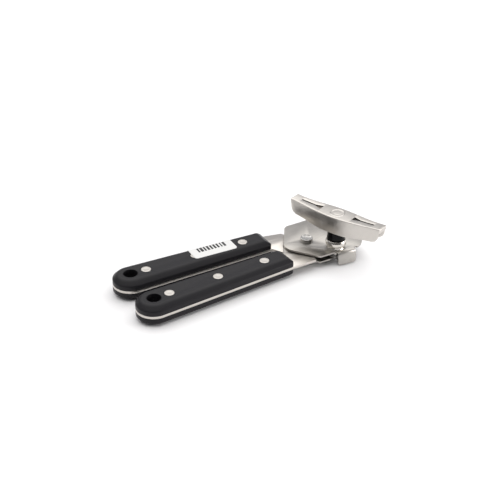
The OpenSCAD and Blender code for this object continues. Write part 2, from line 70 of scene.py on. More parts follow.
# Handle scales and tangs
HANDLE_T = 16.0
SCALE_T = 7.0
TANG_T = 2.0
TANG_EDGE = 0.12
BUTT_R = 13.2
BUTT_REACH = 52.3
FRONT_REACH = 60.4
FRONT_HALF_W = 10.1
FRONT_CORNER_R = 2.6
FRONT_CORNER_LEAST_R = 0.9
SLOPE_W = 3.6
SLOPE_H = 3.3
FRONT_SLOPE_W = 4.6
SLOPE_FOOT_R = 1.5
SLOPE_CROWN_R = 3.2
CROWN_LAND = 1.6
BUTT_STEPS = 60
CORNER_STEPS = 8
HANG_HOLE_R = 5.3
HOLE_RIM = 0.28
TOOL_OVERRUN = 1

# Handle rivets
RIVET_COUNT = 3
RIVET_PITCH = 40.0
RIVET_HEAD_R = 3.7
RIVET_HEAD_H = 1.6
RIVET_HEAD_GAP = 0.05
RIVET_SEAT_GAP = 0.1
RIVET_SHANK_R = 2.4
RIVET_DISH = 0.10

# Key
KEY_HALF = 39.5
KEY_MID_HALF = 8.2
KEY_TIP_HALF = 4.9
KEY_WALL = 1.1
KEY_TOP = 40.0
KEY_FLAT_SHARE = 0.3
KEY_TIP_RISE = 1.4
KEY_LIP = 3.5
KEY_LIP_BACK = 0.8
KEY_LIP_DROP = 0.4
KEY_CREASE_R = 3.0
KEY_ANGLE = -68.8
SKIRT_FOOT = 26.5
SKIRT_LEVEL = 11.0
SKIRT_TURN_R = 20.0
SKIRT_END_BACK = 1.3
SKIRT_END_RISE = 3.6
SKIRT_END_R = 6.0
COLUMN_STEP = 1.5
COLUMN_LEAST = 0.12
SLOT_START = 13.8
SLOT_END = 32.0
SLOT_W = 1.3
SLOT_HEAD_W = 5.0
SLOT_HEAD_LEN = 6.0
SLOT_RIM = 0.12
SLOT_TOOL_BELOW = 3
SLOT_TOOL_ABOVE = 4
BOSS_R = 5.8
COLLAR_GAP = 0.1
COLLAR_BORE_R = 3.5
COLLAR_FOOT_R = 6.4
COLLAR_SWELL_R = 7.0
COLLAR_WAIST_R = 6.6
COLLAR_R = 6.3

# Head
HEAD_TOP = 11.0
PLATE_EDGE = 0.2
PIVOT_HEAD_R = 4.8
PIVOT_HEAD_H = 2.3
PIVOT_SHANK_R = 3.5
PIVOT_FOOT = 3.7
PIVOT_TAIL_TOP = 5.0
BUSH_TOP = 18.3
BUSH_FOOT = 6.9
BUSH_DISH = 0.2
BUSH_BORE_R = 3.55
BUSH_SPIGOT_R = 5.6
BUSH_BASE_R = 7.3
BUSH_WAIST_R = 6.7
BUSH_NECK_R = 6.8
BUSH_FLANGE_R = 7.9
BUSH_LIP_R = 7.25
BUSH_MOUTH_R = 6.85

# Cutting wheel
WHEEL_FOOT = 1.2
WHEEL_T = 1.5
WHEEL_BORE_R = 2.65
WHEEL_R = 8.48

# Rounding of the other turned and cut pieces' edges
SHAFT_EDGE = 0.2
FEED_WHEEL_EDGE = 0.12
STUD_EDGE = 0.15
SCREW_EDGE = 0.12

# Label
LABEL_LEN = 35.0
LABEL_W = 13.5
LABEL_BACK = -1.9
LABEL_T = 0.15
LABEL_SHEET_T = 0.1
LABEL_CORNER_R = 2.2
LABEL_FLAP_SHORT = 0.6
LABEL_LIFT = 0.02
LABEL_CURL = 0.10
LABEL_CURL_LEN = 5.0
LABEL_CURL_W = 3.0
LABEL_COLUMNS = 40
BARS_PLACE = (7.0, -3.6)
BAR_T = 0.01

# Edges sharper than this stay sharp under smooth shading
SHARP_ANGLE = 32

# Points this near each other are joined, and CAD facets that meet flatter than this become one
JOIN_GAP = 0.0005
CAD_JOIN_GAP = 0.002
CAD_FLAT_ANGLE = 0.3

# The stretch that gives brushing no direction
EVEN_GRAIN = 1.0

# Studio, in metres, but for the floor, the lens and the sensor
FLOOR_HALF = 6000
ROOM_COLOUR = (0.97, 0.97, 1.0)
ROOM_BRIGHT_SIDE = (0.45, 0.70, 0.55)
ROOM_STRENGTH = 0.60
CAMERA_AZIMUTH = -31.8
CAMERA_ELEVATION = 31.06
CAMERA_ROLL = 0.56
CAMERA_DISTANCE = 0.810
CAMERA_AIM = (0.0145, 0.0266, 0.008)
CAMERA_LENS = 76.75
CAMERA_SENSOR = 36


# ---------------------------------------------------------------- mesh tools

def centre_of(node):
    low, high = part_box(node)
    return (Vector(low) + Vector(high)) / 2


def axis_place(node, turn=0.0):
    """A frame on a node's own upright axis, at table height, turned about Z."""
    c = centre_of(node)
    return Matrix.Translation((c.x, c.y, 0)) @ Matrix.Rotation(math.radians(turn), 4, "Z")


def filleted(points, steps=5):
    """(r, z, fillet) points as a smooth open line, with each middle corner rounded by its fillet."""
    line = [Vector(points[0][:2])]
    for before, here, after in zip(points, points[1:], points[2:]):
        corner = Vector(here[:2])
        to_a = (Vector(before[:2]) - corner).normalized()
        to_b = (Vector(after[:2]) - corner).normalized()
        half = to_a.angle(to_b) / 2
        if here[2] == 0 or half > math.pi / 2 - 0.01:
            line.append(corner)
            continue
        reach = here[2] / math.tan(half)
        middle = corner + (to_a + to_b).normalized() * here[2] / math.sin(half)
        start = corner + to_a * reach - middle
        end = corner + to_b * reach - middle
        sweep = start.angle(end)
        for i in range(steps + 1):
            t = i / steps
            turned_arm = start * math.sin((1 - t) * sweep) + end * math.sin(t * sweep)
            line.append(middle + turned_arm / math.sin(sweep))
    line.append(Vector(points[-1][:2]))
    return line


def linked(name, mesh):
    """A new object of this mesh, in the scene."""
    obj = bpy.data.objects.new(name, mesh)
    bpy.context.scene.collection.objects.link(obj)
    return obj


def shaded(obj):
    """Smooth shading, kept sharp at the hard edges."""
    obj.data.shade_smooth()
    obj.data.set_sharp_from_angle(angle=math.radians(SHARP_ANGLE))
    return obj


def mesh_object(name, bm, place=Matrix.Identity(4)):
    """A finished mesh object at the origin, its place in its mesh, from a bmesh in millimetres."""
    bmesh.ops.remove_doubles(bm, verts=bm.verts, dist=JOIN_GAP)
    bmesh.ops.transform(bm, matrix=place @ Matrix.Scale(MM, 4), verts=bm.verts)
    bmesh.ops.recalc_face_normals(bm, faces=bm.faces)
    mesh = bpy.data.meshes.new(name)
    bm.to_mesh(mesh)
    bm.free()
    return shaded(linked(name, mesh))


def lathe(name, points, place, segments=96):
    """A turned piece: (r, z, fillet) points in millimetres, spun about the place's own Z."""
    bm = bmesh.new()
    rings = []
    for p in filleted(points):
        if p.x < 1e-6:
            rings.append([bm.verts.new((0, 0, p.y))] * segments)
        else:
            rings.append([bm.verts.new((p.x * math.cos(a), p.x * math.sin(a), p.y))
                          for a in (2 * math.pi * k / segments for k in range(segments))])
    for lower, upper in zip(rings, rings[1:]):
        for k in range(segments):
            n = (k + 1) % segments
            corners = []
            for v in (lower[k], lower[n], upper[n], upper[k]):
                if v not in corners:
                    corners.append(v)
            if len(corners) > 2:
                bm.faces.new(corners)
    return mesh_object(name, bm, place)


def prism(outline, low, high, sign=1):
    """A straight-sided bmesh tool over a plan outline; sign -1 turns it half round about Z."""
    bm = bmesh.new()
    foot = [bm.verts.new((sign * x, sign * y, low)) for x, y in outline]
    head = [bm.verts.new((sign * x, sign * y, high)) for x, y in outline]
    bm.faces.new(foot)
    bm.faces.new(head)
    for i in range(len(outline)):
        n = (i + 1) % len(outline)
        bm.faces.new((foot[i], foot[n], head[n], head[i]))
    return bm


def baked(obj):
    """Replaces an object's live modifiers by the plain mesh that they make."""
    graph = bpy.context.evaluated_depsgraph_get()
    mesh = bpy.data.meshes.new_from_object(obj.evaluated_get(graph))
    obj.modifiers.clear()
    old = obj.data
    obj.data = mesh
    bpy.data.meshes.remove(old)
    mesh.name = obj.name
    return obj


def rounding(obj, width, segments, angle):
    """A live bevel on the edges that are sharper than the angle."""
    edge = obj.modifiers.new("rounding", "BEVEL")
    edge.width = width * MM
    edge.segments = segments
    edge.limit_method = "ANGLE"
    edge.angle_limit = math.radians(angle)
    return edge


def softened(node, name, width, segments=3, angle=35):
    """A copy of a CAD node with its doubles merged and its hard edges rounded."""
    bm = bmesh.new()
    bm.from_mesh(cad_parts[node].data)
    bmesh.ops.remove_doubles(bm, verts=bm.verts, dist=CAD_JOIN_GAP * MM)
    flat = math.radians(CAD_FLAT_ANGLE)
    bmesh.ops.dissolve_limit(bm, angle_limit=flat, verts=bm.verts, edges=bm.edges)
    mesh = bpy.data.meshes.new(name)
    bm.to_mesh(mesh)
    bm.free()
    mesh.materials.clear()
    obj = linked(name, mesh)
    edge = rounding(obj, width, segments, angle)
    edge.use_clamp_overlap = True
    edge.miter_outer = "MITER_ARC"
    return shaded(baked(obj))


def pierced(obj, cutters, rim, rim_angle):
    """Cuts the tools out of a piece, rounds the new rims and removes the tools."""
    for cutter in cutters:
        cut = obj.modifiers.new("cut", "BOOLEAN")
        cut.object = cutter
        cut.operation = "DIFFERENCE"
        cut.solver = "EXACT"
    rounding(obj, rim, segments=3, angle=rim_angle)
    baked(obj)
    for cutter in cutters:
        bpy.data.objects.remove(cutter)
    return shaded(obj)


def grown(name, tree, values, place):
    """The plain mesh that a geometry-nodes tree makes with these inputs, moved to its place."""
    obj = linked(name, bpy.data.meshes.new(name))
    modifier = obj.modifiers.new("grow", "NODES")
    modifier.node_group = tree
    ids = {item.name: item.identifier for item in tree.interface.items_tree if item.in_out == "INPUT"}
    for label, value in values.items():
        modifier[ids[label]] = value
    baked(obj)
    while len(obj.data.materials) > 1:
        obj.data.materials.pop(index=0)
    obj.data.transform(place)
    return shaded(obj)


def fit_out(obj, body, nodes, material):
    """Gives a piece its finish, hangs it on its body's empty and hides the CAD nodes that it stands for."""
    if not obj.data.materials:
        obj.data.materials.append(material)
    else:
        obj.data.materials[0] = material
    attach(obj, body)
    if nodes:
        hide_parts(*nodes)


# ---------------------------------------------------------------- material tools

def group_tree(name, inputs, outputs):
    """An empty shader group with named float or vector sockets."""
    tree = bpy.data.node_groups.new(name, "ShaderNodeTree")
    for label, kind, value in inputs:
        socket = tree.interface.new_socket(label, in_out="INPUT", socket_type=kind)
        if value is not None:
            socket.default_value = value
    for label, kind in outputs:
        tree.interface.new_socket(label, in_out="OUTPUT", socket_type=kind)
    return tree, tree.nodes.new("NodeGroupInput"), tree.nodes.new("NodeGroupOutput")


def add(tree, kind, **values):
    """A node with its properties and, after in_, its unlinked inputs set."""
    node = tree.nodes.new(kind)
    for key, value in values.items():
        if key.startswith("in_"):
            node.inputs[key[3:].replace("_", " ")].default_value = value
        else:
            setattr(node, key, value)
    return node


def times_plus(tree, value, factor, addend):
    """value x factor + addend, of two outputs and a plain factor."""
    node = add(tree, "ShaderNodeMath", operation="MULTIPLY_ADD")
    node.inputs[1].default_value = factor
    tree.links.new(value, node.inputs[0])
    tree.links.new(addend, node.inputs[2])
    return node.outputs[0]


def blended(tree, first, second, factor):
    """A mix of two values, with this share of the second."""
    node = add(tree, "ShaderNodeMix", data_type="FLOAT", in_Factor=factor)
    tree.links.new(first, node.inputs[2])
    tree.links.new(second, node.inputs[3])
    return node.outputs[0]


def spread(tree, source, low, high):
    """Maps a 0 to 1 value to the range low to high."""
    node = add(tree, "ShaderNodeMapRange", in_To_Min=low, in_To_Max=high)
    tree.links.new(source, node.inputs["Value"])
    return node.outputs["Result"]


def noise_on(tree, vector, **values):
    node = add(tree, "ShaderNodeTexNoise", **values)
    tree.links.new(vector, node.inputs["Vector"])
    return node


def brushing_group():
    """Fine lines along the vector's X, as brushing leaves them."""
    tree, given, out = group_tree(
        "brushing",
        [("Vector", "NodeSocketVector", None), ("Lines per metre", "NodeSocketFloat", 5000.0),
         ("Stretch", "NodeSocketFloat", 0.02)],
        [("Height", "NodeSocketFloat"), ("Tone", "NodeSocketFloat")])
    coarse_share = 0.17
    stretch = tree.nodes.new("ShaderNodeCombineXYZ")
    stretch.inputs["Y"].default_value = 1
    stretch.inputs["Z"].default_value = 1
    tree.links.new(given.outputs["Stretch"], stretch.inputs["X"])
    along = add(tree, "ShaderNodeVectorMath", operation="MULTIPLY")
    tree.links.new(given.outputs["Vector"], along.inputs[0])
    tree.links.new(stretch.outputs[0], along.inputs[1])
    fine = noise_on(tree, along.outputs[0], in_Detail=3.0, in_Roughness=0.6)
    coarse = noise_on(tree, along.outputs[0], in_Detail=2.0, in_Roughness=0.5)
    coarse_lines = add(tree, "ShaderNodeMath", operation="MULTIPLY")
    coarse_lines.inputs[1].default_value = coarse_share
    tree.links.new(given.outputs["Lines per metre"], coarse_lines.inputs[0])
    tree.links.new(given.outputs["Lines per metre"], fine.inputs["Scale"])
    tree.links.new(coarse_lines.outputs[0], coarse.inputs["Scale"])
    tree.links.new(fine.outputs[0], out.inputs["Height"])
    tree.links.new(blended(tree, fine.outputs[0], coarse.outputs[0], 0.5), out.inputs["Tone"])
    return tree


def handling_group():
    """Cloudy smears and thin stray scratches, as a used surface has."""
    tree, given, out = group_tree(
        "handling marks",
        [("Vector", "NodeSocketVector", None), ("Smear size", "NodeSocketFloat", 90.0),
         ("Scratches per metre", "NodeSocketFloat", 260.0)],
        [("Smear", "NodeSocketFloat"), ("Scratch", "NodeSocketFloat")])
    waviness = 0.012
    scratch_w = 0.012
    smear = noise_on(tree, given.outputs["Vector"], in_Detail=4.0, in_Roughness=0.55, in_Distortion=0.6)
    tree.links.new(given.outputs["Smear size"], smear.inputs["Scale"])
    bend = noise_on(tree, given.outputs["Vector"], in_Scale=35.0, in_Detail=1.0)
    warp = add(tree, "ShaderNodeVectorMath", operation="MULTIPLY_ADD")
    warp.inputs[1].default_value = (waviness, waviness, waviness)
    tree.links.new(bend.outputs["Color"], warp.inputs[0])
    tree.links.new(given.outputs["Vector"], warp.inputs[2])
    cells = add(tree, "ShaderNodeTexVoronoi", feature="DISTANCE_TO_EDGE")
    tree.links.new(warp.outputs[0], cells.inputs["Vector"])
    tree.links.new(given.outputs["Scratches per metre"], cells.inputs["Scale"])
    line = add(tree, "ShaderNodeMapRange", in_From_Max=scratch_w, in_To_Min=1.0, in_To_Max=0.0)
    tree.links.new(cells.outputs["Distance"], line.inputs["Value"])
    patch = add(tree, "ShaderNodeMapRange", in_From_Min=0.52, in_From_Max=0.68)
    tree.links.new(smear.outputs[0], patch.inputs["Value"])
    kept = add(tree, "ShaderNodeMath", operation="MULTIPLY")
    tree.links.new(line.outputs[0], kept.inputs[0])
    tree.links.new(patch.outputs[0], kept.inputs[1])
    tree.links.new(smear.outputs[0], out.inputs["Smear"])
    tree.links.new(kept.outputs[0], out.inputs["Scratch"])
    return tree


BRUSHING = brushing_group()
HANDLING = handling_group()


def start_material(name, **settings):
    """A material with its shader's flat values set, and its object coordinates."""
    material = bpy.data.materials.new(name)
    material.use_nodes = True
    tree = material.node_tree
    shader = tree.nodes["Principled BSDF"]
    for label, value in settings.items():
        shader.inputs[label.replace("_", " ")].default_value = value
    place = tree.nodes.new("ShaderNodeTexCoord").outputs["Object"]
    return material, tree, shader, place


def use_group(tree, group, vector, **values):
    node = tree.nodes.new("ShaderNodeGroup")
    node.node_tree = group
    tree.links.new(vector, node.inputs["Vector"])
    for label, value in values.items():
        node.inputs[label.replace("_", " ")].default_value = value
    return node


def turned(tree, place, degrees):
    """Coordinates turned about Z, so that a grain can run along a slanted piece."""
    node = add(tree, "ShaderNodeMapping", vector_type="TEXTURE")
    node.inputs["Rotation"].default_value = (0, 0, math.radians(degrees))
    tree.links.new(place, node.inputs["Vector"])
    return node.outputs[0]


def tint(tree, shader, factor, low, high):
    """The base colour, between two colours by a 0 to 1 value."""
    node = add(tree, "ShaderNodeMix", data_type="RGBA")
    node.inputs[6].default_value = (*low, 1)
    node.inputs[7].default_value = (*high, 1)
    tree.links.new(factor, node.inputs[0])
    tree.links.new(node.outputs[2], shader.inputs["Base Color"])


def polish(tree, shader, factor, rough):
    """The roughness, between two values by a 0 to 1 value."""
    tree.links.new(spread(tree, factor, *rough), shader.inputs["Roughness"])


def bump(tree, shader, height, distance):
    node = add(tree, "ShaderNodeBump", in_Strength=1.0, in_Distance=distance)
    tree.links.new(height, node.inputs["Height"])
    tree.links.new(node.outputs[0], shader.inputs["Normal"])


def brushed_steel(name, dark, light, rough, grain_turn=0.0, lines=5200.0, stretch=0.03):
    """Stainless sheet: brushed lines, cloudy smears and a few hairline scratches."""
    material, tree, shader, place = start_material(name, Metallic=1.0)
    grain = use_group(tree, BRUSHING, turned(tree, place, grain_turn), Lines_per_metre=lines,
                      Stretch=stretch)
    marks = use_group(tree, HANDLING, place, Smear_size=70.0)
    tone = blended(tree, grain.outputs["Tone"], marks.outputs["Smear"], 0.45)
    tint(tree, shader, tone, dark, light)
    polish(tree, shader, tone, rough)
    bump(tree, shader, times_plus(tree, marks.outputs["Scratch"], -0.35, grain.outputs["Height"]), 0.000012)
    return material


def blasted_steel(name, dark, light, rough):
    """Pressed sheet, tumbled to a soft satin with a fine pebbled grain."""
    material, tree, shader, place = start_material(name, Metallic=1.0)
    pebble = noise_on(tree, place, in_Scale=2600.0, in_Detail=3.0, in_Roughness=0.6).outputs[0]
    marks = use_group(tree, HANDLING, place, Smear_size=120.0, Scratches_per_metre=190.0)
    tone = blended(tree, pebble, marks.outputs["Smear"], 0.65)
    tint(tree, shader, tone, dark, light)
    polish(tree, shader, tone, rough)
    bump(tree, shader, times_plus(tree, marks.outputs["Scratch"], -0.3, pebble), 0.00002)
    return material


def spun_metal(name, colour, rough, node):
    """Turned metal: fine rings round a node's own axis, with a slightly smeared polish."""
    ring_gap = 0.00012
    worn_share = 0.88
    material, tree, shader, place = start_material(name, Metallic=1.0)
    c = centre_of(node)
    shift = add(tree, "ShaderNodeMapping", vector_type="POINT", in_Location=(-c.x, -c.y, 0))
    tree.links.new(place, shift.inputs["Vector"])
    flat = add(tree, "ShaderNodeVectorMath", operation="MULTIPLY")
    flat.inputs[1].default_value = (1, 1, 0)
    tree.links.new(shift.outputs[0], flat.inputs[0])
    radius = add(tree, "ShaderNodeVectorMath", operation="LENGTH")
    tree.links.new(flat.outputs[0], radius.inputs[0])
    rings = add(tree, "ShaderNodeTexNoise", noise_dimensions="1D", in_Scale=1 / ring_gap, in_Detail=2.0)
    tree.links.new(radius.outputs["Value"], rings.inputs["W"])
    marks = use_group(tree, HANDLING, place, Smear_size=240.0, Scratches_per_metre=500.0)
    tone = blended(tree, rings.outputs[0], marks.outputs["Smear"], 0.5)
    tint(tree, shader, tone, [worn_share * v for v in colour], colour)
    polish(tree, shader, tone, rough)
    bump(tree, shader, rings.outputs[0], 0.000006)
    return material


def moulded_black(name, dark, light, rough, specular, depth):
    """Satin black plastic: a fine moulded grain, fine lines and cloudy patches, rougher and smoother by
    turns.
    """
    material, tree, shader, place = start_material(name, Specular_IOR_Level=specular)
    pebble = noise_on(tree, place, in_Scale=9000.0, in_Detail=2.0, in_Roughness=0.55).outputs[0]
    marks = use_group(tree, HANDLING, place, Smear_size=55.0, Scratches_per_metre=150.0)
    lines = use_group(tree, BRUSHING, place, Lines_per_metre=2600.0, Stretch=0.04)
    tone = blended(tree, lines.outputs["Tone"], marks.outputs["Smear"], 0.5)
    tint(tree, shader, tone, dark, light)
    polish(tree, shader, tone, rough)
    bump(tree, shader, times_plus(tree, lines.outputs["Height"], 0.5, pebble), depth)
    return material


def coated_paper(name):
    """Matt coated paper with faint fibres."""
    material, tree, shader, place = start_material(name, Specular_IOR_Level=0.35)
    fibres = noise_on(tree, place, in_Scale=3500.0, in_Detail=3.0, in_Distortion=1.2).outputs[0]
    tint(tree, shader, fibres, (0.72, 0.72, 0.71), (0.80, 0.80, 0.79))
    polish(tree, shader, fibres, (0.5, 0.7))
    bump(tree, shader, fibres, 0.00001)
    return material


def printed_ink(name):
    """Black thermal print, a little uneven."""
    material, tree, shader, place = start_material(name, Specular_IOR_Level=0.3)
    speck = noise_on(tree, place, in_Scale=6000.0, in_Detail=2.0).outputs[0]
    tint(tree, shader, speck, (0.012, 0.012, 0.014), (0.06, 0.06, 0.065))
    polish(tree, shader, speck, (0.45, 0.65))
    return material


def floor_paint(name):
    """A plain pale floor with a barely uneven tone."""
    material, tree, shader, place = start_material(name, Specular_IOR_Level=0.2, Roughness=0.75)
    cloud = noise_on(tree, place, in_Scale=6.0, in_Detail=1.0).outputs[0]
    tint(tree, shader, cloud, (0.93, 0.93, 0.94), (0.95, 0.95, 0.96))
    return material


# ---------------------------------------------------------------- finishes

plate_steel = brushed_steel("head_plate_steel", (0.28, 0.268, 0.25), (0.60, 0.575, 0.54), (0.24, 0.40),
                            grain_turn=12)
tang_steel = brushed_steel("tang_steel", (0.52, 0.49, 0.455), (0.70, 0.665, 0.62), (0.24, 0.38))
key_steel = blasted_steel("key_steel", (0.49, 0.465, 0.435), (0.68, 0.65, 0.61), (0.24, 0.34))
# Painted shade: a near-black finish for the key's slot sides, so the slots look shaded inside
sheared_steel = blasted_steel("sheared_steel", (0.05, 0.047, 0.044), (0.11, 0.105, 0.10), (0.5, 0.7))
rivet_steel = brushed_steel("handle_rivet_steel", (0.46, 0.44, 0.41), (0.64, 0.61, 0.575), (0.30, 0.46),
                            lines=4000.0, stretch=EVEN_GRAIN)
pivot_polish = spun_metal("pivot_polish", (0.56, 0.55, 0.53), (0.12, 0.24), "pivot_rivet")
bush_polish = spun_metal("bush_polish", (0.70, 0.67, 0.62), (0.12, 0.24), "shaft_bush")
shaft_polish = spun_metal("shaft_polish", (0.66, 0.65, 0.63), (0.16, 0.30), "drive_shaft")
cutter_polish = spun_metal("cutter_polish", (0.62, 0.61, 0.60), (0.14, 0.28), "cutter_wheel")
bronze = spun_metal("washer_bronze", (0.60, 0.40, 0.19), (0.25, 0.40), "pivot_washer_top")
wheel_steel = brushed_steel("hardened_wheel_steel", (0.30, 0.29, 0.28), (0.46, 0.45, 0.44), (0.28, 0.44),
                            stretch=EVEN_GRAIN)
handle_black = moulded_black("handle_black", (0.006, 0.0055, 0.007), (0.016, 0.015, 0.018), (0.32, 0.46),
                             specular=0.21, depth=0.00001)
nylon_black = moulded_black("collar_black", (0.002, 0.002, 0.002), (0.005, 0.005, 0.005), (0.14, 0.24),
                            specular=0.13, depth=0.000003)
label_paper = coated_paper("label_paper")
label_ink = printed_ink("label_ink")


# ---------------------------------------------------------------- geometry-nodes trees

def growing_tree(name, inputs):
    """An empty geometry-nodes tree with these named inputs."""
    tree = bpy.data.node_groups.new(name, "GeometryNodeTree")
    tree.interface.new_socket("Geometry", in_out="INPUT", socket_type="NodeSocketGeometry")
    for label, kind in inputs:
        tree.interface.new_socket(label, in_out="INPUT", socket_type=kind)
    tree.interface.new_socket("Geometry", in_out="OUTPUT", socket_type="NodeSocketGeometry")
    return tree, tree.nodes.new("NodeGroupInput"), tree.nodes.new("NodeGroupOutput")


def line_of_points(tree, given):
    """Count points along X, one Pitch apart, and the step from each to the next."""
    step = tree.nodes.new("ShaderNodeCombineXYZ")
    tree.links.new(given.outputs["Pitch"], step.inputs["X"])
    line = tree.nodes.new("GeometryNodeMeshLine")
    tree.links.new(given.outputs["Count"], line.inputs["Count"])
    tree.links.new(step.outputs[0], line.inputs["Offset"])
    return line, step.outputs[0]


def copied_along(tree, line, piece, finish, out):
    """Real copies of a piece on the line's points, with their finish, as the tree's output."""
    copies = tree.nodes.new("GeometryNodeInstanceOnPoints")
    tree.links.new(line.outputs[0], copies.inputs["Points"])
    tree.links.new(piece, copies.inputs["Instance"])
    real = tree.nodes.new("GeometryNodeRealizeInstances")
    tree.links.new(copies.outputs[0], real.inputs[0])
    finished = tree.nodes.new("GeometryNodeSetMaterial")
    tree.links.new(real.outputs[0], finished.inputs["Geometry"])
    tree.links.new(finish, finished.inputs["Material"])
    tree.links.new(finished.outputs[0], out.inputs[0])
    return copies


def row_tree():
    """Geometry nodes: a row of copies of one piece along X, about the row's middle."""
    tree, given, out = growing_tree("rivet_row", [
        ("Blank", "NodeSocketObject"), ("Count", "NodeSocketInt"), ("Pitch", "NodeSocketFloat"),
        ("Finish", "NodeSocketMaterial")])
    line, step = line_of_points(tree, given)
    steps = add(tree, "ShaderNodeMath", operation="SUBTRACT")
    steps.inputs[1].default_value = 1
    tree.links.new(given.outputs["Count"], steps.inputs[0])
    half_back = add(tree, "ShaderNodeMath", operation="MULTIPLY")
    half_back.inputs[1].default_value = -0.5
    tree.links.new(steps.outputs[0], half_back.inputs[0])
    start = add(tree, "ShaderNodeVectorMath", operation="SCALE")
    tree.links.new(step, start.inputs[0])
    tree.links.new(half_back.outputs[0], start.inputs["Scale"])
    tree.links.new(start.outputs[0], line.inputs["Start Location"])
    blank = tree.nodes.new("GeometryNodeObjectInfo")
    tree.links.new(given.outputs["Blank"], blank.inputs["Object"])
    copied_along(tree, line, blank.outputs["Geometry"], given.outputs["Finish"], out)
    return tree


def bars_tree():
    """Geometry nodes: upright printed bars along X, evenly placed and of seeded widths."""
    tree, given, out = growing_tree("label_bars", [
        ("Count", "NodeSocketInt"), ("Pitch", "NodeSocketFloat"), ("Height", "NodeSocketFloat"),
        ("Thinnest", "NodeSocketFloat"), ("Widest", "NodeSocketFloat"), ("Seed", "NodeSocketInt"),
        ("Ink", "NodeSocketMaterial")])
    line = line_of_points(tree, given)[0]
    # The bar is one metre wide, so its scale along X is its width
    size = tree.nodes.new("ShaderNodeCombineXYZ")
    size.inputs["X"].default_value = 1.0
    size.inputs["Z"].default_value = BAR_T * MM
    tree.links.new(given.outputs["Height"], size.inputs["Y"])
    bar = tree.nodes.new("GeometryNodeMeshCube")
    tree.links.new(size.outputs[0], bar.inputs["Size"])
    width = add(tree, "FunctionNodeRandomValue", data_type="FLOAT")
    bounds = {socket.name: socket for socket in width.inputs if socket.enabled}
    for label, bound in (("Thinnest", "Min"), ("Widest", "Max"), ("Seed", "Seed")):
        tree.links.new(given.outputs[label], bounds[bound])
    drawn = [socket for socket in width.outputs if socket.enabled][0]
    scale = tree.nodes.new("ShaderNodeCombineXYZ")
    scale.inputs["Y"].default_value = 1
    scale.inputs["Z"].default_value = 1
    tree.links.new(drawn, scale.inputs["X"])
    copies = copied_along(tree, line, bar.outputs["Mesh"], given.outputs["Ink"], out)
    tree.links.new(scale.outputs[0], copies.inputs["Scale"])
    return tree


# ---------------------------------------------------------------- handles

def handle_frame(side):
    """A handle's own place: X forwards from the middle rivet, Y outwards, at table height."""
    lever = "drive" if side > 0 else "cutter"
    butt = centre_of(f"{lever}_rivet_butt")
    head = centre_of(f"{lever}_rivet_head")
    forward = head - butt
    forward.z = 0
    forward.normalize()
    outward = Vector((-forward.y, forward.x, 0)) * side
    middle = (butt + head) / 2
    place = Matrix.Identity(4)
    place.col[0].xyz = forward
    place.col[1].xyz = outward
    place.col[2].xyz = Vector((0, 0, 1))
    place.col[3].xyz = Vector((middle.x, middle.y, 0))
    return place


def handle_taper():
    """The angle between a handle's middle line and its straight sides, in radians."""
    length = BUTT_REACH + FRONT_REACH
    return math.asin(BUTT_R / math.hypot(length, FRONT_HALF_W)) - math.atan2(FRONT_HALF_W, length)


def handle_outline(inset):
    """A scale's plan, pulled in by this much at the sides and in proportion at the front."""
    taper = handle_taper()
    x_end = FRONT_REACH - inset * FRONT_SLOPE_W / SLOPE_W
    half = FRONT_HALF_W - inset / math.cos(taper) + (FRONT_REACH - x_end) * math.tan(taper)
    points = []
    for i in range(BUTT_STEPS + 1):
        a = math.pi / 2 - taper + (math.pi + 2 * taper) * i / BUTT_STEPS
        points.append((-BUTT_REACH + (BUTT_R - inset) * math.cos(a), (BUTT_R - inset) * math.sin(a)))
    corner = max(FRONT_CORNER_R - inset, FRONT_CORNER_LEAST_R)
    for sign in (-1, 1):
        for i in range(CORNER_STEPS + 1):
            a = math.radians(90) * (i / CORNER_STEPS)
            along, across = (math.sin(a), math.cos(a)) if sign < 0 else (math.cos(a), math.sin(a))
            points.append((x_end - corner + corner * along, sign * (half - corner + corner * across)))
    return points


def scale_place(side, upper):
    """Where a scale lies: the upper one on the tang, the lower one upside down under it."""
    if upper:
        return handle_frame(side) @ Matrix.Translation(Vector((0, 0, (HANDLE_T + TANG_T) / 2)) * MM)
    foot = Matrix.Translation(Vector((0, 0, SCALE_T)) * MM)
    return handle_frame(side) @ foot @ Matrix.Scale(-1, 4, (0, 0, 1))


def scale_blank():
    """A scale without its holes: an upright edge, then a slope, both rounded into a flat top."""
    profile = filleted([(0, 0, 0), (0, SCALE_T - SLOPE_H, SLOPE_FOOT_R), (SLOPE_W, SCALE_T, SLOPE_CROWN_R),
                        (SLOPE_W + CROWN_LAND, SCALE_T, 0)], steps=6)
    bm = bmesh.new()
    rings = [[bm.verts.new((x, y, p.y)) for x, y in handle_outline(p.x)] for p in profile]
    count = len(rings[0])
    for a, b in zip(rings, rings[1:]):
        for k in range(count):
            n = (k + 1) % count
            bm.faces.new((a[k], a[n], b[n], b[k]))
    bm.faces.new(rings[0])
    bm.faces.new(rings[-1])
    return bm


def drum(radius, low, high, x):
    """A round bmesh tool that stands at x on a handle's middle line."""
    bm = bmesh.new()
    bmesh.ops.create_cone(bm, cap_ends=True, segments=64, radius1=radius, radius2=radius, depth=high - low,
                          matrix=Matrix.Translation((x, 0, (low + high) / 2)))
    return bm


def handle_moulding(name, side, upper):
    """One black scale with its hanging hole and its rivet seats."""
    place = scale_place(side, upper)
    moulding = mesh_object(name, scale_blank(), place)
    over = SCALE_T + TOOL_OVERRUN
    cutters = [mesh_object(f"{name}_hole", drum(HANG_HOLE_R, -TOOL_OVERRUN, over, -BUTT_REACH), place)]
    for step in (-1, 0, 1):
        seat = drum(RIVET_HEAD_R + RIVET_SEAT_GAP, SCALE_T - RIVET_HEAD_H, over, step * RIVET_PITCH)
        cutters.append(mesh_object(f"{name}_seat", seat, place))
    return pierced(moulding, cutters, HOLE_RIM, rim_angle=60)


